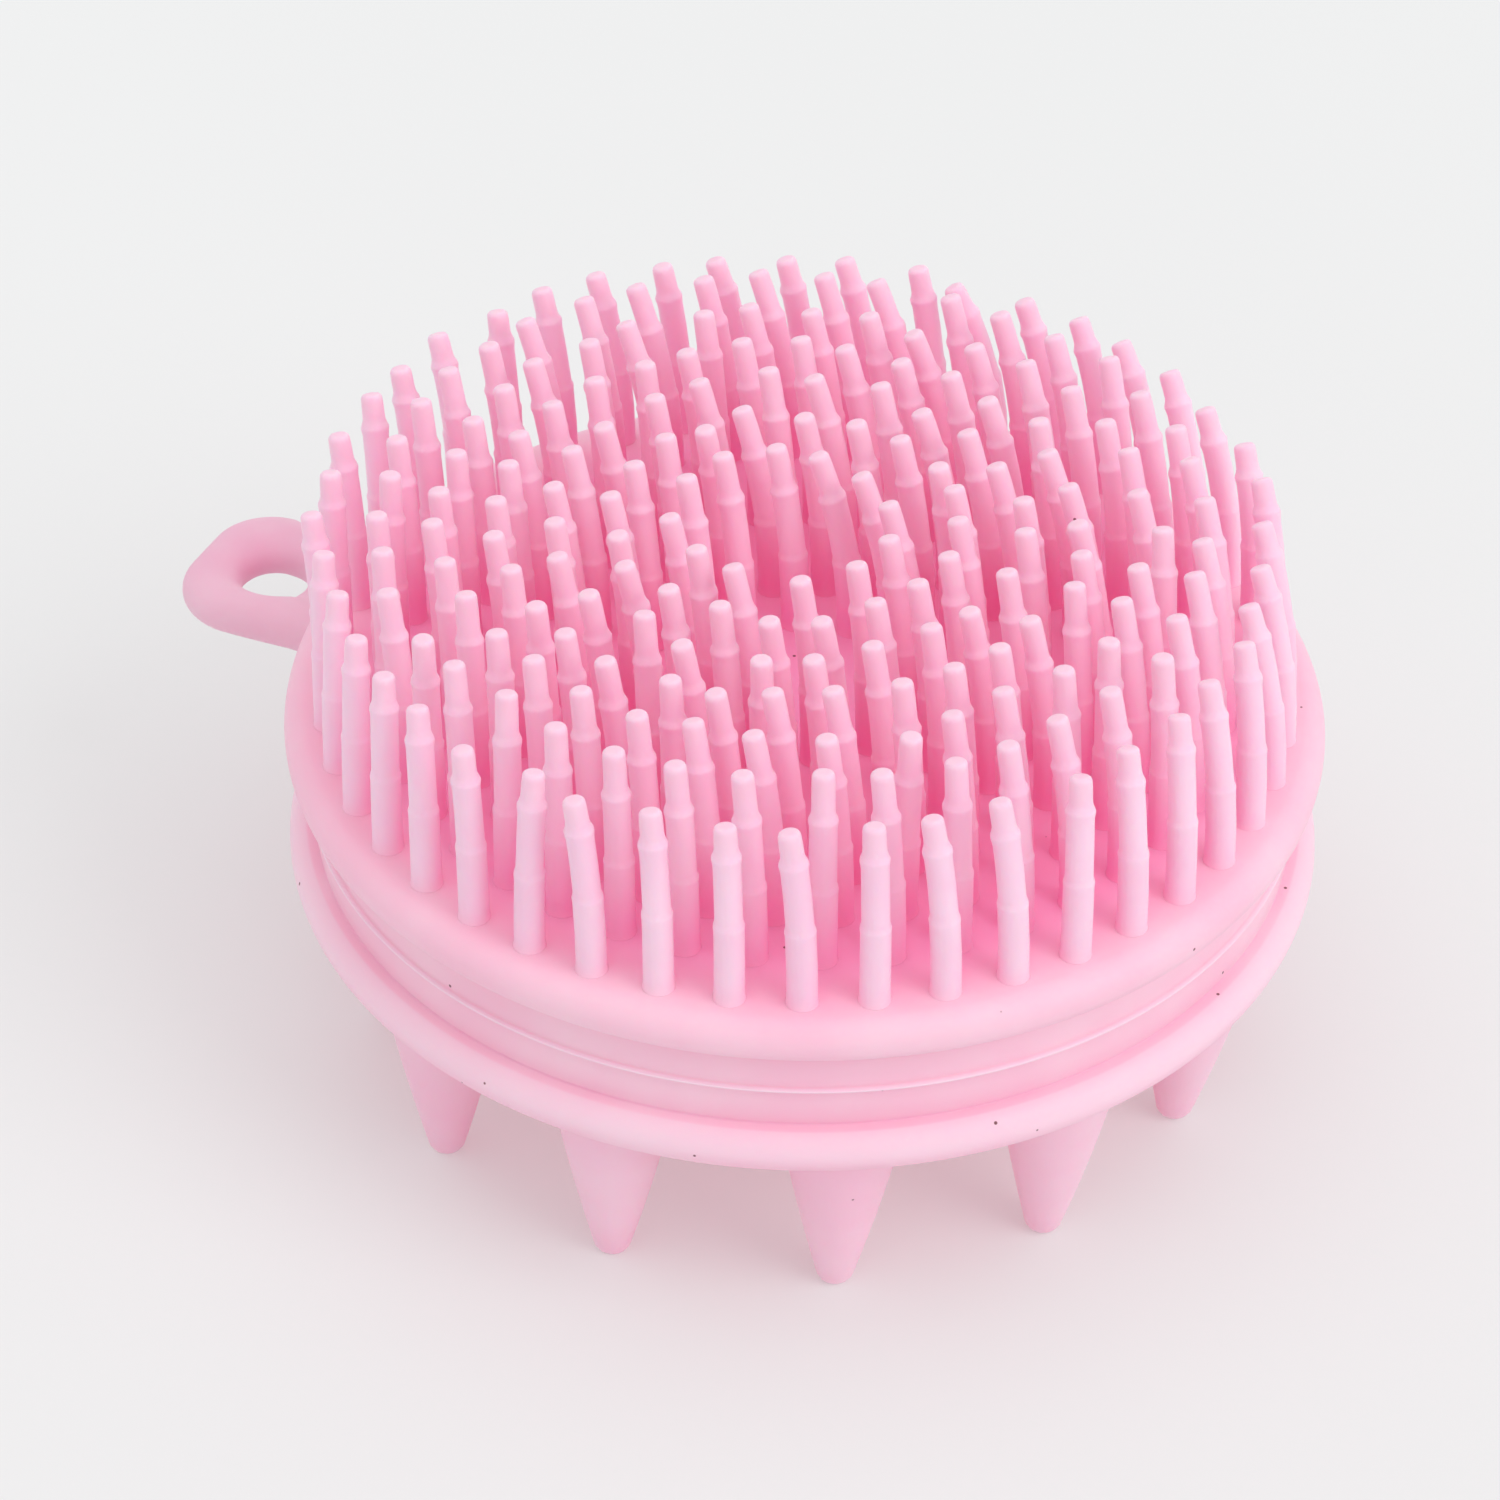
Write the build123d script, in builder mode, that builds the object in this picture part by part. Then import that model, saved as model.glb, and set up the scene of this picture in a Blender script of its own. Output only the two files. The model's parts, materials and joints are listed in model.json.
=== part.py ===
from build123d import *
from math import cos, radians, sin
import os

# Two-sided scalp massager: thin stepped bristles above, thick tapered cones below and a flat
# hanging loop on the rim. The Z axis is the axis of the round body, Z = 0 is the surface that
# the cone tips stand on, and the loop points along -X. Sizes are in millimetres.

# Round body
BODY_DIAMETER = 75.0
BODY_THICKNESS = 13.4
RIM_ROUNDING = 1.7  # radius of the bead that edges each half
WAIST_DEPTH = 1.9  # how far the waist lies inside the two beads
SEAM_HEIGHT = 0.4  # raised line where the halves meet, measured on each half
SEAM_WIDTH = 0.35

# Massage cones
CONE_HEIGHT = 15.2
CONE_BASE_RADIUS = 4.5
CONE_TIP_RADIUS = 1.3
CONE_TIP_HEIGHT = 0.8  # height of the rounding at the tip
CONE_TIP_FLAT_RADIUS = 0.7
CONE_TIP_EDGE_RADIUS = 1.15  # the tip's rounding passes through this radius and height
CONE_TIP_EDGE_HEIGHT = 0.2
CONE_BULGE = 0.15  # how far the flank stands out of a straight cone
OUTER_CONE_COUNT = 12
OUTER_CONE_CIRCLE = 31.0
INNER_CONE_COUNT = 6
INNER_CONE_CIRCLE = 16.0

# Bristles: each has a thick foot, a middle and a thin tip, with a sloping shoulder between them
BRISTLE_COUNTS = (12, 20, 24, 32, 36, 40, 44)
FIRST_RING_RADIUS = 8.0
RING_PITCH = 4.38
FOOT_RADIUS = 1.07
FOOT_LENGTH = 6.1
MIDDLE_RADIUS = 0.95
MIDDLE_LENGTH = 5.4
TIP_RADIUS = 0.78
TIP_LENGTH = 3.6
OUTER_TIP_LENGTH = 2.5  # the bristles next to the rim are a little shorter
SHOULDER_LENGTH = 0.35

# Hanging loop: its underside is level with the seam
LOOP_REACH = 50.5  # from the body's axis to the loop's outer end
LOOP_WIDTH = 13.4
LOOP_ROOT_WIDTH = 12.4
LOOP_THICKNESS = 3.4
LOOP_CORNER_RADIUS = 4.8
LOOP_HOLE_RADIUS = 2.5
LOOP_HOLE_CENTRE = 43.9  # from the body's axis
LOOP_HOLE_WALL = 1.3  # straight part of the hole between its rounded lips
LOOP_ROOT_GAP = 0.6  # room between the loop's rounded root and the waist
LOOP_EDGE_FLAT = 0.1  # flat left between the roundings of the loop's edge
RADIUS_MATCH = 0.01  # how near an edge's radius is to the hole's to be taken for its lip

# The bristles and cones bend sideways, so their ends stand just clear of the body's faces.
FACE_GAP = 0.05

# Sizes that follow from those above
BODY_RADIUS = BODY_DIAMETER / 2
BODY_UNDERSIDE = CONE_HEIGHT
SEAM_LEVEL = BODY_UNDERSIDE + BODY_THICKNESS / 2
BODY_TOP = BODY_UNDERSIDE + BODY_THICKNESS
WAIST_RADIUS = BODY_RADIUS - WAIST_DEPTH
RIM_CENTRE = BODY_RADIUS - RIM_ROUNDING
RIM_LEVEL = BODY_THICKNESS / 2 - RIM_ROUNDING
LOOP_LEVEL = SEAM_LEVEL + LOOP_THICKNESS / 2
LOOP_ROOT = WAIST_RADIUS + LOOP_ROOT_GAP
LOOP_EDGE_ROUNDING = (LOOP_THICKNESS - LOOP_EDGE_FLAT) / 2

os.makedirs("parts", exist_ok=True)


def save(piece, node):
    """Label a finished piece and write it under its node name."""
    piece.label = node
    export_step(piece, f"parts/{node}.step")


def body_half(side):
    """Half of the round body: side is +1 above the seam and -1 below it."""
    seam = SEAM_LEVEL
    rim = seam + side * RIM_LEVEL
    face = seam + side * BODY_THICKNESS / 2
    inward = RIM_CENTRE - WAIST_RADIUS
    drop = (RIM_ROUNDING**2 - inward**2) ** 0.5
    with BuildPart() as half:
        with BuildSketch(Plane.XZ):
            with BuildLine():
                Polyline((0, seam), (0, face), (RIM_CENTRE, face))
                ThreePointArc(
                    (RIM_CENTRE, face),
                    (RIM_CENTRE + RIM_ROUNDING, rim),
                    (WAIST_RADIUS, rim - side * drop),
                )
                Polyline(
                    (WAIST_RADIUS, rim - side * drop),
                    (WAIST_RADIUS, seam + side * SEAM_WIDTH),
                    (WAIST_RADIUS + SEAM_HEIGHT, seam),
                    (0, seam),
                )
            make_face()
        revolve(axis=Axis.Z)
    return half.part


def massage_cone(x, y, top):
    """A blunt cone standing on its tip at (x, y), with its wide end at the given height."""
    middle_height = (CONE_TIP_HEIGHT + top) / 2
    middle_radius = (CONE_TIP_RADIUS + CONE_BASE_RADIUS) / 2 + CONE_BULGE
    with BuildPart() as cone:
        with BuildSketch(Plane.XZ):
            with BuildLine():
                Polyline((CONE_BASE_RADIUS, top), (0, top), (0, 0), (CONE_TIP_FLAT_RADIUS, 0))
                ThreePointArc(
                    (CONE_TIP_FLAT_RADIUS, 0),
                    (CONE_TIP_EDGE_RADIUS, CONE_TIP_EDGE_HEIGHT),
                    (CONE_TIP_RADIUS, CONE_TIP_HEIGHT),
                )
                ThreePointArc(
                    (CONE_TIP_RADIUS, CONE_TIP_HEIGHT),
                    (middle_radius, middle_height),
                    (CONE_BASE_RADIUS, top),
                )
            make_face()
        revolve(axis=Axis.Z)
    return cone.part.moved(Location((x, y, 0)))


def cone_circle(name, count, circle):
    """A ring of cones, the first one under the hanging loop, each a node of its own."""
    digits = len(str(count))
    for index in range(count):
        angle = radians(180 + index * 360 / count)
        top = BODY_UNDERSIDE - FACE_GAP
        cone = massage_cone(circle * cos(angle), circle * sin(angle), top)
        save(cone, f"{name}_{index + 1:0{digits}d}")


def bristle(tip_length):
    """One stepped bristle on the Z axis, standing on the body's top face."""
    start = BODY_TOP + FACE_GAP
    middle = BODY_TOP + FOOT_LENGTH
    tip = middle + MIDDLE_LENGTH
    end = tip + tip_length
    with BuildPart() as stem:
        with BuildSketch(Plane.XZ):
            with BuildLine():
                Polyline(
                    (0, end),
                    (0, start),
                    (FOOT_RADIUS, start),
                    (FOOT_RADIUS, middle),
                    (MIDDLE_RADIUS, middle + SHOULDER_LENGTH),
                    (MIDDLE_RADIUS, tip),
                    (TIP_RADIUS, tip + SHOULDER_LENGTH),
                    (TIP_RADIUS, end - TIP_RADIUS),
                )
                RadiusArc((TIP_RADIUS, end - TIP_RADIUS), (0, end), -TIP_RADIUS)
            make_face()
        revolve(axis=Axis.Z)
    return stem.part


# Round body
with BuildPart() as bristle_disc:
    add(body_half(+1))
save(bristle_disc.part, "bristle_disc")

with BuildPart() as cone_disc:
    add(body_half(-1))
save(cone_disc.part, "cone_disc")

# Hanging loop: a rounded tab, fully rounded on its edges, with a round hole
with BuildPart() as hanging_loop:
    with BuildSketch(Plane.XY.offset(LOOP_LEVEL)):
        with BuildLine():
            Polyline(
                (-LOOP_ROOT, -LOOP_ROOT_WIDTH / 2),
                (-LOOP_REACH, -LOOP_WIDTH / 2),
                (-LOOP_REACH, LOOP_WIDTH / 2),
                (-LOOP_ROOT, LOOP_ROOT_WIDTH / 2),
                close=True,
            )
        outline = make_face()
        corners = outline.vertices().group_by(Axis.X)
        fillet(corners[0], radius=LOOP_CORNER_RADIUS)
        fillet(corners[-1], radius=LOOP_THICKNESS / 2)
    extrude(amount=LOOP_THICKNESS / 2, both=True)
    fillet(edges().group_by(Axis.Z)[0] + edges().group_by(Axis.Z)[-1], radius=LOOP_EDGE_ROUNDING)
    with Locations((-LOOP_HOLE_CENTRE, 0, LOOP_LEVEL)):
        Hole(radius=LOOP_HOLE_RADIUS)
    lips = edges().filter_by(GeomType.CIRCLE).filter_by(
        lambda edge: abs(edge.radius - LOOP_HOLE_RADIUS) < RADIUS_MATCH
    )
    fillet(lips, radius=(LOOP_THICKNESS - LOOP_HOLE_WALL) / 2)
save(hanging_loop.part, "hanging_loop")

# Cones
save(massage_cone(0, 0, BODY_UNDERSIDE), "cone_centre")
cone_circle("cone_inner", INNER_CONE_COUNT, INNER_CONE_CIRCLE)
cone_circle("cone_outer", OUTER_CONE_COUNT, OUTER_CONE_CIRCLE)

# Bristle rings, from the bare middle outwards, each with one bristle on the loop's side
for ring_index, count in enumerate(BRISTLE_COUNTS):
    is_outermost = ring_index == len(BRISTLE_COUNTS) - 1
    ring_radius = FIRST_RING_RADIUS + ring_index * RING_PITCH
    with BuildPart() as bristle_ring:
        with PolarLocations(ring_radius, count, start_angle=180):
            add(bristle(OUTER_TIP_LENGTH if is_outermost else TIP_LENGTH))
    save(bristle_ring.part, f"bristle_ring_{ring_index + 1}")
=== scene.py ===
import json
from math import cos, pi, radians, sin

import bmesh
import bpy
import numpy as np
from mathutils import Matrix, Vector


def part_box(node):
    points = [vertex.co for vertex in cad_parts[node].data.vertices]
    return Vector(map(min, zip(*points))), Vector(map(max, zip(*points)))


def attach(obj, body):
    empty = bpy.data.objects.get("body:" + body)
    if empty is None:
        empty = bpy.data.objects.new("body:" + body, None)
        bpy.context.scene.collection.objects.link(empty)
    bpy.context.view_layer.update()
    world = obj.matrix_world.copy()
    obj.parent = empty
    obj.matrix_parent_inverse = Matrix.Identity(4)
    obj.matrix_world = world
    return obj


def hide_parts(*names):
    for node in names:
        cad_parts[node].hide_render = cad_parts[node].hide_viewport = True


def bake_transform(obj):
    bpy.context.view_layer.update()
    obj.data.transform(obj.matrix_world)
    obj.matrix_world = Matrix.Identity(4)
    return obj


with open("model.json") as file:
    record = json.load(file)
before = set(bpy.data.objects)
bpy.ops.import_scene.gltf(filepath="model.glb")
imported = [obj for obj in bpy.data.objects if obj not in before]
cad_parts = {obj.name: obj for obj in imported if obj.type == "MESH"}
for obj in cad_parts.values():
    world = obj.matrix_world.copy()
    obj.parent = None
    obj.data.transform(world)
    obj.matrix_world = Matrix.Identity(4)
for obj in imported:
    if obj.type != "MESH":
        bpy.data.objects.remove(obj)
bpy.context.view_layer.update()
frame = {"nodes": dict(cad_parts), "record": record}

# Two-sided scalp massager in soft pink silicone. Lengths are in metres, in the frame of the
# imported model: the body's axis is Z, the cones stand on Z = 0 and the loop points along -X.

MM = 0.001
SEED = 11

# ---------------------------------------------------------------------------------------------
# Places and sizes read from the frame
# ---------------------------------------------------------------------------------------------

upper_low, upper_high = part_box("bristle_disc")
lower_low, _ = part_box("cone_disc")
loop_low, loop_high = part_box("hanging_loop")

SEAM = upper_low.z
TOP = upper_high.z
UNDERSIDE = lower_low.z
BODY_RADIUS = upper_high.x
HALF_BODY = TOP - SEAM

mounts = {mount["name"]: mount for mount in frame["record"]["mounts"]}
LOOP_END = loop_low.x
LOOP_HALF_WIDTH = loop_high.y
LOOP_HALF_THICKNESS = (loop_high.z - loop_low.z) / 2
LOOP_LEVEL = (loop_high.z + loop_low.z) / 2
HOLE_CENTRE = mounts["hang_hole"]["pos_m"][0]
HOLE_RADIUS = mounts["hang_hole"]["dims"]["r_mm"] * MM

# ---------------------------------------------------------------------------------------------
# Sizes of the moulding's details
# ---------------------------------------------------------------------------------------------

RIM_ROUNDING = 1.7 * MM
WAIST_DEPTH = 1.9 * MM
WAIST_RADIUS = BODY_RADIUS - WAIST_DEPTH
SEAM_RIDGE = 0.4 * MM
BEAD_END = -78  # degrees from level, where a rim's bead turns into the waist
BEAD_STEPS = 26
BEAD_DROP = 1.66 * MM  # how far that end lies from the middle of the bead, towards the seam
CREASE = HALF_BODY - RIM_ROUNDING - BEAD_DROP  # the crease's distance from the seam
BODY_SEGMENTS = 288

BRISTLE_COUNTS = (12, 20, 24, 32, 36, 40, 44)
FOOT_RADIUS = 1.07 * MM
BRISTLE_SEGMENTS = 18
LEAN_SPREAD = 0.45 * MM  # chance differences between neighbours
LENGTH_SPREAD = 0.006

CONE_SEGMENTS = 56
CONE_TIP_RADIUS = 1.33 * MM
CONE_TIP_HEIGHT = 0.62 * MM  # where the tip's rounding meets the flank
CONE_FLANK_HEIGHT_LOSS = 0.8 * MM  # how much shorter the flank is than the whole cone
CONE_FOOT_RADIUS = 4.42 * MM
CONE_BULGE = 0.6 * MM
CONE_FLANK_STEPS = 17
OUTER_CIRCLE = 31 * MM
CONE_BOW = 0.2 * MM
CONE_EXTRA_BOW = 0.5 * MM  # at the outer cones that the combing direction points to

# The bristles and cones are bowed by handling, in directions turned by this angle from X and Y
COMB_ANGLE = radians(25)
COMB_ACROSS = Vector((cos(COMB_ANGLE), sin(COMB_ANGLE)))
COMB_ALONG = Vector((-sin(COMB_ANGLE), cos(COMB_ANGLE)))

LOOP_TURNS = 160
LOOP_SECTION_POINTS = 40
LOOP_SECTION_POWER = 0.92  # below 1 makes the round section a little squarer
LOOP_CORNER = 4.6 * MM
LOOP_ROOT_SHARE = 0.86  # the root's width as a share of the widest part
LOOP_SKEW = 0.7 * MM
LOOP_SKEW_SPAN = (-37 * MM, -43 * MM)  # where the outer end's shift towards +Y sets in
LOOP_PINCH = 0.8 * MM  # how much narrower its +Y side is beside the body
LOOP_PINCH_SPAN = (-45 * MM, -40.5 * MM)
LOOP_SWELL = 0.15  # how much thicker it gets where it joins the waist
LOOP_SWELL_SPAN = (-38.0 * MM, -35.4 * MM)

# ---------------------------------------------------------------------------------------------
# Camera: far off, a little above 38 degrees, seen with the loop on the left
# ---------------------------------------------------------------------------------------------

CAMERA_AZIMUTH = radians(24.9)
CAMERA_ELEVATION = radians(38.28)
CAMERA_ROLL = radians(0.73)
CAMERA_DISTANCE = 396.2 * MM
CAMERA_LENS = 130.6
AIM_LEFT = 3.9 * MM
AIM_UP = 0.9 * MM


def camera_axes():
    """The camera's right, up and backward directions."""
    right = Vector((cos(CAMERA_AZIMUTH), sin(CAMERA_AZIMUTH), 0))
    flat_back = Vector((sin(CAMERA_AZIMUTH), -cos(CAMERA_AZIMUTH), 0))
    back = flat_back * cos(CAMERA_ELEVATION) + Vector((0, 0, sin(CAMERA_ELEVATION)))
    up = back.cross(right)
    rolled_right = right * cos(CAMERA_ROLL) + up * sin(CAMERA_ROLL)
    rolled_up = up * cos(CAMERA_ROLL) - right * sin(CAMERA_ROLL)
    return rolled_right, rolled_up, back


def make_camera():
    right, up, back = camera_axes()
    data = bpy.data.cameras.new("camera")
    data.lens = CAMERA_LENS
    data.sensor_width = 36
    data.clip_start = 0.01
    data.clip_end = 20
    camera = bpy.data.objects.new("camera", data)
    place = Vector((0, 0, SEAM)) + back * CAMERA_DISTANCE - right * AIM_LEFT + up * AIM_UP
    turn = Matrix((right, up, back)).transposed().to_4x4()
    camera.matrix_world = Matrix.Translation(place) @ turn
    bpy.context.scene.collection.objects.link(camera)
    bpy.context.scene.camera = camera


# ---------------------------------------------------------------------------------------------
# Materials
# ---------------------------------------------------------------------------------------------


class Nodes:
    """Short names for building a material's node tree."""

    def __init__(self, name):
        self.material = bpy.data.materials.new(name)
        self.material.use_nodes = True
        self.tree = self.material.node_tree
        self.shader = self.tree.nodes["Principled BSDF"]

    def add(self, kind, **settings):
        node = self.tree.nodes.new(kind)
        for key, value in settings.items():
            setattr(node, key, value)
        return node

    def link(self, output, target):
        self.tree.links.new(output, target)

    def noise(self, vector, scale, detail=3.0, roughness=0.5):
        node = self.add("ShaderNodeTexNoise")
        node.inputs["Scale"].default_value = scale
        node.inputs["Detail"].default_value = detail
        node.inputs["Roughness"].default_value = roughness
        self.link(vector, node.inputs["Vector"])
        return node.outputs["Fac"]

    def spread(self, value, low, high, to_low=0.0, to_high=1.0):
        """Maps a value from low..high to to_low..to_high, smoothly and clamped."""
        node = self.add("ShaderNodeMapRange", interpolation_type="SMOOTHSTEP")
        node.inputs["From Min"].default_value = low
        node.inputs["From Max"].default_value = high
        node.inputs["To Min"].default_value = to_low
        node.inputs["To Max"].default_value = to_high
        self.link(value, node.inputs["Value"])
        return node.outputs["Result"]

    def product(self, first, second):
        node = self.add("ShaderNodeMath", operation="MULTIPLY")
        self.link(first, node.inputs[0])
        self.link(second, node.inputs[1])
        return node.outputs["Value"]

    def mix(self, factor, first, second):
        """Mixes two colours, each a colour or the output of a node."""
        node = self.add("ShaderNodeMix", data_type="RGBA")
        self.link(factor, node.inputs["Factor"])
        for socket, colour in ((node.inputs["A"], first), (node.inputs["B"], second)):
            if isinstance(colour, tuple):
                socket.default_value = (*colour, 1.0)
            else:
                self.link(colour, socket)
        return node.outputs["Result"]


# Linear colours of the silicone, painted shade and painted highlights among them
PINK = (0.995, 0.545, 0.69)
BRISTLE_PINK = (0.99, 0.605, 0.765)
# The loop's darker pink is painted shade
SHADED_LOOP_PINK = (0.855, 0.465, 0.615)
# The next colour is painted shade, for between the bristles and for the creases beside the rims
SHADE_PINK = (0.97, 0.41, 0.66)
PALE_PINK = (0.94, 0.61, 0.74)
# The next colour is a painted highlight, on the seam's flash ridge and on the lower rim
HIGHLIGHT_PINK = (0.98, 0.70, 0.81)
SPECK = (0.22, 0.08, 0.10)

# Radii between which the painted shade between the bristles fades out, and its amount inside them
CROWD_INSIDE = 29 * MM
CROWD_OUTSIDE = 36 * MM
CROWD_SHADE_AMOUNT = 0.85

# Texture of the silicone; scales are in cells per metre
CLOUD_SCALE = 90.0
CLOUD_PALENESS = 0.15
SPECK_SCALE = 450.0
SPECK_SIZE = (0.04, 0.07)  # from a speck's dark middle to its edge, in cells
SPECK_SHARPNESS = 0.98  # nearer to 1, fewer specks are half faded
GRAIN_SCALE = 2600.0
GRAIN_STRENGTH = 0.25
GRAIN_DEPTH = 0.02 * MM
RIPPLE_SCALE = 260.0
RIPPLE_STRENGTH = 0.3
RIPPLE_DEPTH = 0.12 * MM

# Painted light at the rims: a painted highlight on the seam's flash ridge, painted shade in the
# creases and a painted highlight on the lower rim
SEAM_LINE_EDGE = (0.10 * MM, 0.19 * MM)  # distances from the seam over which it fades out
SEAM_LINE_AMOUNT = 0.9
CREASE_SHADE_AMOUNT = 0.3
LOWER_RIM_HIGHLIGHT_AMOUNT = 0.62

SILICONE_IOR = 1.41
SCATTER_RADIUS = (1.0, 0.6, 0.8)
SCATTER_SCALE = 0.35 * MM
SCATTER_WEIGHT = 0.5
STANDING_SCATTER_SCALE = 0.8 * MM  # in the bristles and cones
STANDING_SCATTER_WEIGHT = 0.8


def painted_crowd_shade(nodes, colour, place, height, crowd_shade):
    """Painted shade between the bristles: deep pink, fading out towards the rim."""
    flat = nodes.add("ShaderNodeVectorMath", operation="MULTIPLY")
    nodes.link(place, flat.inputs[0])
    flat.inputs[1].default_value = (1, 1, 0)
    radius = nodes.add("ShaderNodeVectorMath", operation="LENGTH")
    nodes.link(flat.outputs["Vector"], radius.inputs[0])
    inside = nodes.spread(radius.outputs["Value"], CROWD_INSIDE, CROWD_OUTSIDE, CROWD_SHADE_AMOUNT, 0.0)
    depth = nodes.product(inside, nodes.spread(height, *crowd_shade))
    return nodes.mix(depth, colour, SHADE_PINK)


def paint_seam_and_rim_light(nodes, colour, height):
    """Painted light at the rims: the seam's flash ridge painted pale as a highlight, painted shade in
    the deep pink creases beside the rims, and a painted highlight on the paler lower rim.
    """
    offset = nodes.add("ShaderNodeMath", operation="SUBTRACT")
    nodes.link(height, offset.inputs[0])
    offset.inputs[1].default_value = SEAM
    distance = nodes.add("ShaderNodeMath", operation="ABSOLUTE")
    nodes.link(offset.outputs["Value"], distance.inputs[0])
    from_seam = distance.outputs["Value"]
    # Painted highlight along the mould's flash ridge at the seam
    line = nodes.spread(from_seam, *SEAM_LINE_EDGE, SEAM_LINE_AMOUNT, 0.0)
    colour = nodes.mix(line, colour, HIGHLIGHT_PINK)
    # Painted shade: deep pink in the crease beside each rim
    crease = nodes.product(
        nodes.spread(from_seam, CREASE - 0.35 * MM, CREASE - 0.12 * MM),
        nodes.spread(from_seam, CREASE - 0.08 * MM, CREASE, CREASE_SHADE_AMOUNT, 0.0),
    )
    colour = nodes.mix(crease, colour, SHADE_PINK)
    # Painted highlight: the lower rim's bead painted paler below the crease, fading out towards its
    # bottom
    lower_rim_highlight = nodes.product(
        nodes.spread(height, SEAM - CREASE + 0.02 * MM, SEAM - CREASE - 0.06 * MM),
        nodes.spread(height, UNDERSIDE + 0.6 * MM, UNDERSIDE + 2.2 * MM, 0.0, LOWER_RIM_HIGHLIGHT_AMOUNT),
    )
    return nodes.mix(lower_rim_highlight, colour, HIGHLIGHT_PINK)


def dusted(nodes, colour, place, dust):
    """Dark specks in a share of the cells that the surface is divided into."""
    speck = nodes.add("ShaderNodeTexVoronoi", feature="F1")
    speck.inputs["Scale"].default_value = SPECK_SCALE
    nodes.link(place, speck.inputs["Vector"])
    chance = nodes.add("ShaderNodeSeparateColor")
    nodes.link(speck.outputs["Color"], chance.inputs["Color"])
    near = nodes.spread(speck.outputs["Distance"], *SPECK_SIZE, 1.0, 0.0)
    chosen = nodes.spread(chance.outputs["Red"], 1 - dust, 1 - SPECK_SHARPNESS * dust)
    return nodes.mix(nodes.product(near, chosen), colour, SPECK)


def bump(nodes, height, strength, depth):
    """A bump node fed by the given height."""
    node = nodes.add("ShaderNodeBump")
    node.inputs["Strength"].default_value = strength
    node.inputs["Distance"].default_value = depth
    nodes.link(height, node.inputs["Height"])
    return node


def silicone(name, pink, roughness, dust, tip=None, crowd_shade=None, buried=None, painted_seam_and_rim_light=False):
    """Matte translucent silicone, cloudy, with specks of dust in a share of its surface.

    tip: heights between which the pale end of a bristle fades in.
    crowd_shade: the painted shade between the bristles, a deep pink, as two heights and its amount at
    each.
    buried: heights over which light starts to pass through, above or below a face that the
    piece stands on.
    painted_seam_and_rim_light: whether it has a painted highlight on the mould's flash ridge at the
    seam, painted shade in the deep pink creases and a painted highlight on the paler lower rim.
    """
    nodes = Nodes(name)
    place = nodes.add("ShaderNodeTexCoord").outputs["Object"]
    parts = nodes.add("ShaderNodeSeparateXYZ")
    nodes.link(place, parts.inputs["Vector"])
    height = parts.outputs["Z"]

    cloud = nodes.noise(place, CLOUD_SCALE, detail=4.0)
    cloudy = tuple((1 - CLOUD_PALENESS) * channel + CLOUD_PALENESS for channel in pink)
    colour = nodes.mix(nodes.spread(cloud, 0.35, 0.7), pink, cloudy)
    if crowd_shade is not None:
        colour = painted_crowd_shade(nodes, colour, place, height, crowd_shade)
    if tip is not None:
        colour = nodes.mix(nodes.spread(height, *tip), colour, PALE_PINK)
    if painted_seam_and_rim_light:
        colour = paint_seam_and_rim_light(nodes, colour, height)
    nodes.link(dusted(nodes, colour, place, dust), nodes.shader.inputs["Base Color"])

    fine = nodes.noise(place, GRAIN_SCALE, detail=2.0)
    broad = nodes.noise(place, RIPPLE_SCALE, detail=2.0)
    nodes.link(
        nodes.spread(broad, 0.3, 0.7, roughness - 0.05, roughness + 0.06),
        nodes.shader.inputs["Roughness"],
    )
    grain = bump(nodes, fine, GRAIN_STRENGTH, GRAIN_DEPTH)
    ripple = bump(nodes, broad, RIPPLE_STRENGTH, RIPPLE_DEPTH)
    nodes.link(grain.outputs["Normal"], ripple.inputs["Normal"])
    nodes.link(ripple.outputs["Normal"], nodes.shader.inputs["Normal"])

    nodes.shader.inputs["IOR"].default_value = SILICONE_IOR
    nodes.shader.inputs["Subsurface Radius"].default_value = SCATTER_RADIUS
    if buried is None:
        nodes.shader.inputs["Subsurface Scale"].default_value = SCATTER_SCALE
        nodes.shader.inputs["Subsurface Weight"].default_value = SCATTER_WEIGHT
    else:
        nodes.shader.inputs["Subsurface Scale"].default_value = STANDING_SCATTER_SCALE
        nodes.link(nodes.spread(height, *buried, 0.0, STANDING_SCATTER_WEIGHT),
                   nodes.shader.inputs["Subsurface Weight"])
    return nodes.material


# ---------------------------------------------------------------------------------------------
# Mesh building
# ---------------------------------------------------------------------------------------------


def skin(rings, closed_path=False):
    """Faces over rings of points: quads between neighbours, and fans over the two ends."""
    count, around = rings.shape[:2]
    points = rings.reshape(-1, 3)
    steps = count if closed_path else count - 1
    here = np.arange(around)
    following = (here + 1) % around
    faces = []
    for step in range(steps):
        low = step * around
        high = (step + 1) % count * around
        faces += np.stack([low + here, low + following, high + following, high + here], 1).tolist()
    if not closed_path:
        first_pole, last_pole = len(points), len(points) + 1
        points = np.vstack([points, rings[0].mean(0), rings[-1].mean(0)])
        last = (count - 1) * around
        faces += [[first_pole, b, a] for a, b in zip(here.tolist(), following.tolist())]
        faces += [[last_pole, last + a, last + b] for a, b in zip(here.tolist(), following.tolist())]
    return points, faces


def circle(segments):
    angles = np.linspace(0, 2 * pi, segments, endpoint=False)
    return np.cos(angles), np.sin(angles)


def lathe(profile, segments, centre=(0.0, 0.0)):
    """A solid of revolution about an upright axis, from (radius, height) pairs."""
    across, along = circle(segments)
    rings = [
        np.stack([centre[0] + radius * across, centre[1] + radius * along, 0 * across + z], 1)
        for radius, z in profile
    ]
    return skin(np.array(rings))


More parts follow.
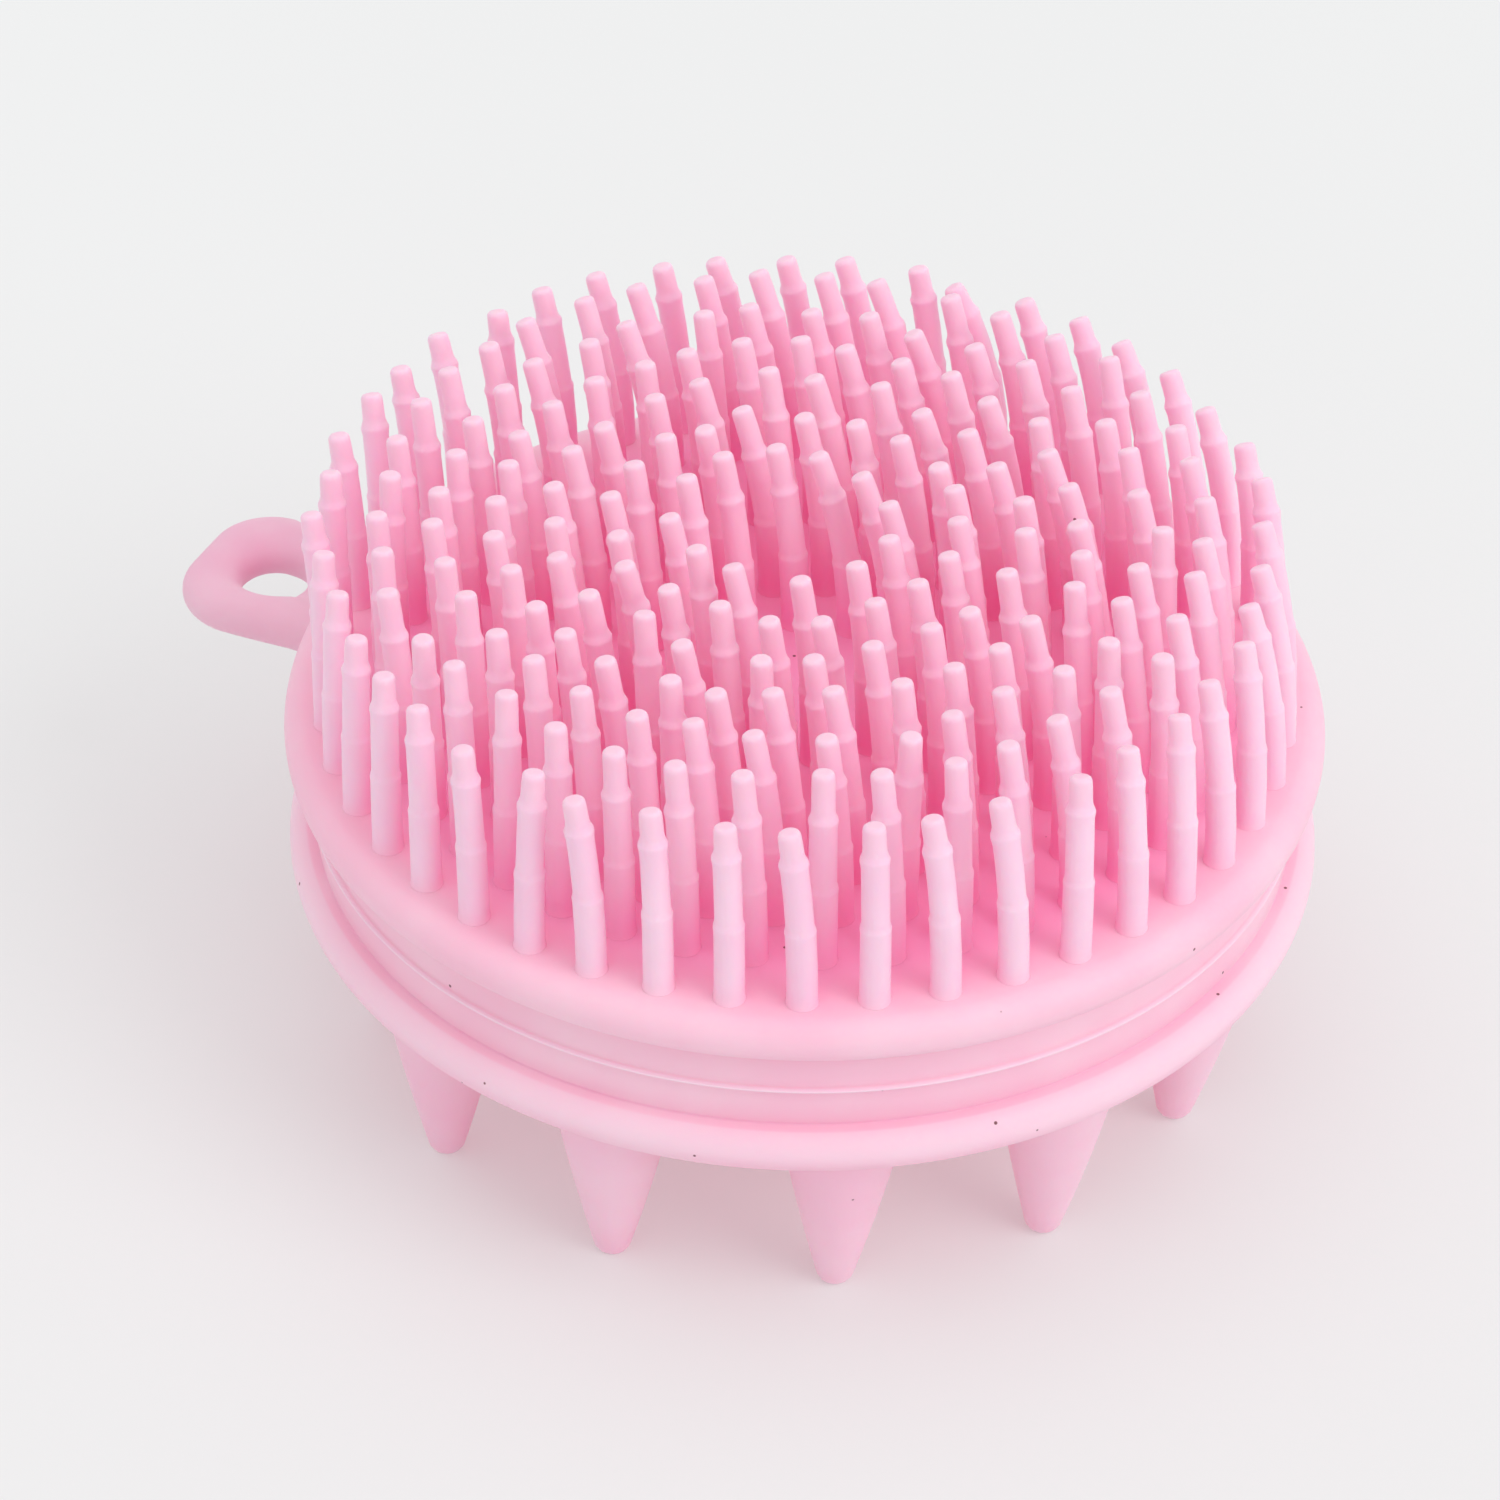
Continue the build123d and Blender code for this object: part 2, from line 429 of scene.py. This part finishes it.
def arc(centre, radius, start, end, steps):
    """Points of a circular arc in the (radius, height) plane; angles in degrees."""
    turn = [radians(start + (end - start) * step / steps) for step in range(steps + 1)]
    return [(centre[0] + radius * cos(a), centre[1] + radius * sin(a)) for a in turn]


def new_piece(name, parts, material):
    """One smooth-shaded object from several (points, faces) parts."""
    points, faces = [], []
    for part_points, part_faces in parts:
        offset = len(points)
        points += np.asarray(part_points).tolist()
        faces += [[offset + index for index in face] for face in part_faces]
    mesh = bpy.data.meshes.new(name)
    mesh.from_pydata(points, [], faces)
    outward = bmesh.new()
    outward.from_mesh(mesh)
    bmesh.ops.recalc_face_normals(outward, faces=outward.faces)
    outward.to_mesh(mesh)
    outward.free()
    mesh.polygons.foreach_set("use_smooth", [True] * len(mesh.polygons))
    mesh.materials.append(material)
    mesh.update()
    piece = bpy.data.objects.new(name, mesh)
    bpy.context.scene.collection.objects.link(piece)
    return piece


def smooth_rise(value, start, end):
    t = np.clip((value - start) / (end - start), 0, 1)
    return t * t * (3 - 2 * t)


# ---------------------------------------------------------------------------------------------
# Body
# ---------------------------------------------------------------------------------------------


def half_profile():
    """(radius, height over the seam) pairs from the middle of a face, over the rim, to the seam."""
    rim = (BODY_RADIUS - RIM_ROUNDING, HALF_BODY - RIM_ROUNDING)
    flat = [(r * MM, HALF_BODY) for r in (0.4, 4, 9, 15, 21, 27, 31, 34, 35.2)]
    bead = arc(rim, RIM_ROUNDING, 90, BEAD_END, BEAD_STEPS)
    groove = [
        (WAIST_RADIUS + inset * MM, bead[-1][1] - drop * MM)
        for inset, drop in ((0.08, 0.02), (-0.04, 0.05), (-0.09, 0.10), (-0.08, 0.18),
                            (-0.04, 0.27), (0.0, 0.36))
    ]
    wall = [(WAIST_RADIUS, 1.4 * MM), (WAIST_RADIUS + 0.01 * MM, 0.30 * MM)]
    ridge = [
        (WAIST_RADIUS + 0.05 * MM, 0.18 * MM),
        (WAIST_RADIUS + 0.15 * MM, 0.13 * MM),
        (WAIST_RADIUS + 0.35 * MM, 0.09 * MM),
    ]
    return flat + bead + groove + wall + ridge


def make_body():
    """Both halves in one skin, so that the seam shows only as its raised line."""
    half = half_profile()
    upper = [(radius, SEAM + height) for radius, height in half]
    lower = [(radius, SEAM - height) for radius, height in half[::-1]]
    seam = [(WAIST_RADIUS + SEAM_RIDGE, SEAM)]
    part = lathe(upper + seam + lower, BODY_SEGMENTS)
    # The pad's top face gets painted shade between the bristles
    material = silicone("silicone_body", PINK, 0.48, 0.2,
                        crowd_shade=(TOP - 0.5 * MM, TOP - 0.1 * MM, 0.0, 1.1), painted_seam_and_rim_light=True)
    piece = new_piece("body_skin", [part], material)
    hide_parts("bristle_disc", "cone_disc")
    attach(piece, "core")


# ---------------------------------------------------------------------------------------------
# Hanging loop
# ---------------------------------------------------------------------------------------------


def loop_outline():
    """Plan of the loop: (x, y) points from its root round the outer end and back to its root."""
    root_half = LOOP_ROOT_SHARE * LOOP_HALF_WIDTH
    corner_x = LOOP_END + LOOP_CORNER
    side_end = LOOP_HALF_WIDTH - LOOP_CORNER
    turns = np.radians(np.linspace(90, 180, 24))
    far = [(corner_x + LOOP_CORNER * cos(a), side_end + LOOP_CORNER * sin(a)) for a in turns]
    flare = [
        (-30.0 * MM, root_half + 1.6 * MM),
        (-34.6 * MM, root_half + 0.9 * MM),
        (-35.6 * MM, root_half + 0.4 * MM),
        (-36.6 * MM, root_half + 0.1 * MM),
        (-37.6 * MM, root_half),
        (-39.6 * MM, root_half + 0.15 * MM),
    ]
    half = flare + far
    outline = np.array(half + [(x, -y) for x, y in half[::-1]])
    outline[:, 1] += LOOP_SKEW * smooth_rise(outline[:, 0], *LOOP_SKEW_SPAN)
    pinch = LOOP_PINCH * smooth_rise(outline[:, 0], *LOOP_PINCH_SPAN)
    outline[:, 1] -= np.where(outline[:, 1] > 0, pinch, 0)
    return outline


def loop_rings():
    """Closed cross-sections of the loop, one for each direction round the hole's middle."""
    outline = loop_outline() - np.array([HOLE_CENTRE, 0])
    dense = np.concatenate(
        [a + (b - a) * np.linspace(0, 1, 12, endpoint=False)[:, None]
         for a, b in zip(outline, np.roll(outline, -1, 0))]
    )
    angle = np.arctan2(dense[:, 1], dense[:, 0])
    order = np.argsort(angle)
    turns = np.linspace(-pi, pi, LOOP_TURNS, endpoint=False)
    reach = np.interp(turns, angle[order], np.hypot(*dense.T)[order], period=2 * pi)
    section = np.linspace(0, 2 * pi, LOOP_SECTION_POINTS, endpoint=False)
    across = np.sign(np.cos(section)) * np.abs(np.cos(section)) ** LOOP_SECTION_POWER
    upward = np.sign(np.sin(section)) * np.abs(np.sin(section)) ** LOOP_SECTION_POWER
    rings = []
    for turn, far in zip(turns, reach):
        middle = (far + HOLE_RADIUS) / 2
        radius = middle + (far - HOLE_RADIUS) / 2 * across
        x = HOLE_CENTRE + radius * cos(turn)
        y = radius * sin(turn)
        thickness = LOOP_HALF_THICKNESS * (1 + LOOP_SWELL * smooth_rise(x, *LOOP_SWELL_SPAN))
        rings.append(np.stack([x, y, LOOP_LEVEL + thickness * upward], 1))
    return np.array(rings)


def make_loop():
    points, faces = skin(loop_rings(), closed_path=True)
    # The loop's own darker pink is painted shade
    material = silicone("silicone_loop", SHADED_LOOP_PINK, 0.5, 0.1)
    piece = new_piece("hanging_loop_skin", [(points, faces)], material)
    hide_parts("hanging_loop")
    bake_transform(piece)


# ---------------------------------------------------------------------------------------------
# Cones
# ---------------------------------------------------------------------------------------------


def cone_profile(height):
    """(radius, height) pairs of a blunt cone from the flat of its tip to its buried top."""
    tip = [(r * MM, z * MM) for r, z in ((0.15, 0), (0.55, 0.0), (0.85, 0.07), (1.12, 0.28))]
    flank = []
    for step in range(CONE_FLANK_STEPS):
        t = step / CONE_FLANK_STEPS
        radius = CONE_TIP_RADIUS + (CONE_FOOT_RADIUS - CONE_TIP_RADIUS) * t + CONE_BULGE * t * (1 - t)
        flank.append((radius, CONE_TIP_HEIGHT + (height - CONE_FLANK_HEIGHT_LOSS) * t))
    foot = [
        (4.46 * MM, height - 0.35 * MM),
        (4.56 * MM, height - 0.14 * MM),
        (4.78 * MM, height),
        (4.80 * MM, height + 0.3 * MM),
        (0.20 * MM, height + 0.3 * MM),
    ]
    return tip + flank + foot


def make_cones():
    material = silicone("silicone_cones", PINK, 0.5, 0.1,
                        buried=(UNDERSIDE, UNDERSIDE - 1 * MM))
    bodies = {node: body for body, nodes in frame["record"]["behaviour"]["bodies"].items()
              for node in nodes}
    for node in sorted(frame["nodes"]):
        if not node.startswith("cone_") or node == "cone_disc":
            continue
        low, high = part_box(node)
        centre = ((low.x + high.x) / 2, (low.y + high.y) / 2)
        points, faces = lathe(cone_profile(UNDERSIDE), CONE_SEGMENTS, centre)
        along = centre[0] * COMB_ACROSS.x + centre[1] * COMB_ACROSS.y
        sideways = -(CONE_BOW + CONE_EXTRA_BOW * max(along / OUTER_CIRCLE, 0) ** 2)
        bow = sideways * np.clip(1 - points[:, 2] / UNDERSIDE, 0, 1) ** 1.5
        points[:, :2] += bow[:, None] * np.array(COMB_ACROSS)
        piece = new_piece(f"{node}_skin", [(points, faces)], material)
        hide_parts(node)
        if bodies[node] == "core":
            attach(piece, "core")
        else:
            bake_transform(piece)


# ---------------------------------------------------------------------------------------------
# Bristles
# ---------------------------------------------------------------------------------------------


def bristle_profile(length):
    """(height, radius) pairs of a stepped bristle, from its buried foot to its tip."""
    foot = [(-0.60, 1.16), (0.0, 1.15), (0.15, 1.11), (0.45, 1.085), (0.9, 1.075), (3.0, 1.07)]
    first_step = [(5.7, 1.06), (5.95, 1.085), (6.1, 1.09), (6.22, 1.065), (6.42, 1.0),
                  (6.6, 0.975)]
    second_step = [(9.0, 0.965), (10.8, 0.96), (11.1, 0.985), (11.35, 1.03), (11.5, 1.04),
                   (11.62, 1.015), (11.85, 0.915), (12.1, 0.84), (12.4, 0.82)]
    top = length / MM
    tip = [((12.4 + top) / 2, 0.81), (top - 0.50, 0.795), (top - 0.28, 0.78),
           (top - 0.13, 0.72), (top - 0.04, 0.62), (top - 0.005, 0.48), (top, 0.20)]
    return np.array(foot + first_step + second_step + tip) * MM


def lean_at(x, y):
    """How far a bristle's tip leans sideways, along X and Y, for a bristle standing at (x, y).

    The field is combed over: it leans towards the loop's side, hardly at all at the edge nearest
    the loop, and towards +Y, most of all far from the loop.
    """
    u = (x * COMB_ACROSS.x + y * COMB_ACROSS.y) / BODY_RADIUS
    v = (x * COMB_ALONG.x + y * COMB_ALONG.y) / BODY_RADIUS
    across = -1.4 - 1.0 * v - 0.35 * u - 0.4 * (1 - u * u - v * v) + 1.0 * min(u, 0) ** 2
    along = 1.5 + 0.5 * v + 0.7 * u + 1.2 * u * u
    return (COMB_ACROSS * across + COMB_ALONG * along) * MM


def bristle(x, y, length, lean):
    """One bristle standing at (x, y), evenly curved over to the given lean."""
    heights, radii = bristle_profile(length).T
    amount = lean.length
    direction = np.array([*(lean / amount), 0.0]) if amount > 0 else np.array([1.0, 0, 0])
    upright = np.array([0.0, 0.0, 1.0])
    sideways = np.cross(upright, direction)
    tilt = 2 * amount / length * np.clip(heights / length, 0, 1)
    steps = np.diff(heights, prepend=heights[0])
    middle_tilt = (tilt + np.roll(tilt, 1)) / 2
    reach = np.cumsum(steps * np.sin(middle_tilt))
    rise = heights[0] + np.cumsum(steps * np.cos(middle_tilt))
    centres = np.array([x, y, TOP]) + reach[:, None] * direction + rise[:, None] * upright
    facing = np.cos(tilt)[:, None] * direction - np.sin(tilt)[:, None] * upright
    across, around = circle(BRISTLE_SEGMENTS)
    rings = (
        centres[:, None]
        + radii[:, None, None] * (across[None, :, None] * facing[:, None]
                                  + around[None, :, None] * sideways)
    )
    return skin(rings)


def make_bristles():
    chance = np.random.default_rng(SEED)
    for index, count in enumerate(BRISTLE_COUNTS):
        node = f"bristle_ring_{index + 1}"
        low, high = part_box(node)
        ring_radius = high.x - FOOT_RADIUS
        length = high.z - TOP
        # The lower parts of the bristles get painted shade, most towards the middle of the field
        material = silicone(
            f"silicone_bristles_{index + 1}", BRISTLE_PINK, 0.5, 0.03,
            tip=(high.z - 2.6 * MM, high.z - 0.1 * MM),
            crowd_shade=(TOP + 0.5 * MM, TOP + 7 * MM, 0.9, 0.0),
            buried=(TOP, TOP + 1.2 * MM),
        )
        parts = []
        for place in range(count):
            angle = pi + 2 * pi * place / count
            x, y = ring_radius * cos(angle), ring_radius * sin(angle)
            lean = lean_at(x, y) + Vector(chance.normal(0, LEAN_SPREAD, 2))
            parts.append(bristle(x, y, length * chance.normal(1, LENGTH_SPREAD), lean))
        piece = new_piece(f"{node}_skin", parts, material)
        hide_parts(node)
        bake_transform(piece)


# ---------------------------------------------------------------------------------------------
# Floor and light
# ---------------------------------------------------------------------------------------------

FLOOR_HALF_SIZE = 3.0
FLOOR_GAP = 0.02 * MM  # how far it lies under the cone tips
FLOOR_TONE = (0.564, 0.570, 0.571)
FLOOR_PALE_TONE = (0.574, 0.580, 0.581)
FLOOR_GLOW = 0.25  # lightens the shadow
SKY_STRENGTH = 0.82
KEY_TURN = radians(40)  # from the camera's right towards the camera
KEY_ELEVATION = radians(40)


def make_floor():
    nodes = Nodes("floor_paper")
    place = nodes.add("ShaderNodeTexCoord").outputs["Object"]
    tone = nodes.spread(nodes.noise(place, 6.0), 0.3, 0.7)
    nodes.link(nodes.mix(tone, FLOOR_TONE, FLOOR_PALE_TONE),
               nodes.shader.inputs["Base Color"])
    nodes.shader.inputs["Emission Color"].default_value = (1.0, 1.0, 1.0, 1.0)
    nodes.shader.inputs["Emission Strength"].default_value = FLOOR_GLOW
    nodes.shader.inputs["Roughness"].default_value = 0.9
    nodes.shader.inputs["Specular IOR Level"].default_value = 0.1
    mesh = bpy.data.meshes.new("floor")
    corners = [(x * FLOOR_HALF_SIZE, y * FLOOR_HALF_SIZE)
               for x, y in ((-1, -1), (1, -1), (1, 1), (-1, 1))]
    mesh.from_pydata([(x, y, -FLOOR_GAP) for x, y in corners], [], [(0, 1, 2, 3)])
    mesh.materials.append(nodes.material)
    floor = bpy.data.objects.new("floor", mesh)
    bpy.context.scene.collection.objects.link(floor)


def make_soft_light(name, energy, spread, towards):
    """A far, broad soft light that stands towards the given direction; its spread is in degrees."""
    light = bpy.data.lights.new(name, "SUN")
    light.energy = energy
    light.angle = radians(spread)
    lamp = bpy.data.objects.new(name, light)
    lamp.rotation_mode = "QUATERNION"
    lamp.rotation_quaternion = towards.to_track_quat("Z", "Y")
    bpy.context.scene.collection.objects.link(lamp)


def make_light():
    world = bpy.data.worlds.new("studio")
    world.use_nodes = True
    background = world.node_tree.nodes["Background"]
    background.inputs["Color"].default_value = (1.0, 1.0, 1.0, 1.0)
    background.inputs["Strength"].default_value = SKY_STRENGTH
    bpy.context.scene.world = world
    right, _, back = camera_axes()
    front_right = right * cos(KEY_TURN) + back * sin(KEY_TURN)
    front_right = Vector((front_right.x, front_right.y, 0)).normalized()
    key = front_right * cos(KEY_ELEVATION) + Vector((0, 0, sin(KEY_ELEVATION)))
    make_soft_light("front_right_light", energy=0.75, spread=36, towards=key)
    make_soft_light("top_light", energy=0.35, spread=60, towards=Vector((0, 0, 1)))
    bpy.context.scene.view_settings.view_transform = "Standard"
    bpy.context.scene.cycles.diffuse_bounces = 12


make_camera()
make_body()
make_loop()
make_cones()
make_bristles()
make_floor()
make_light()
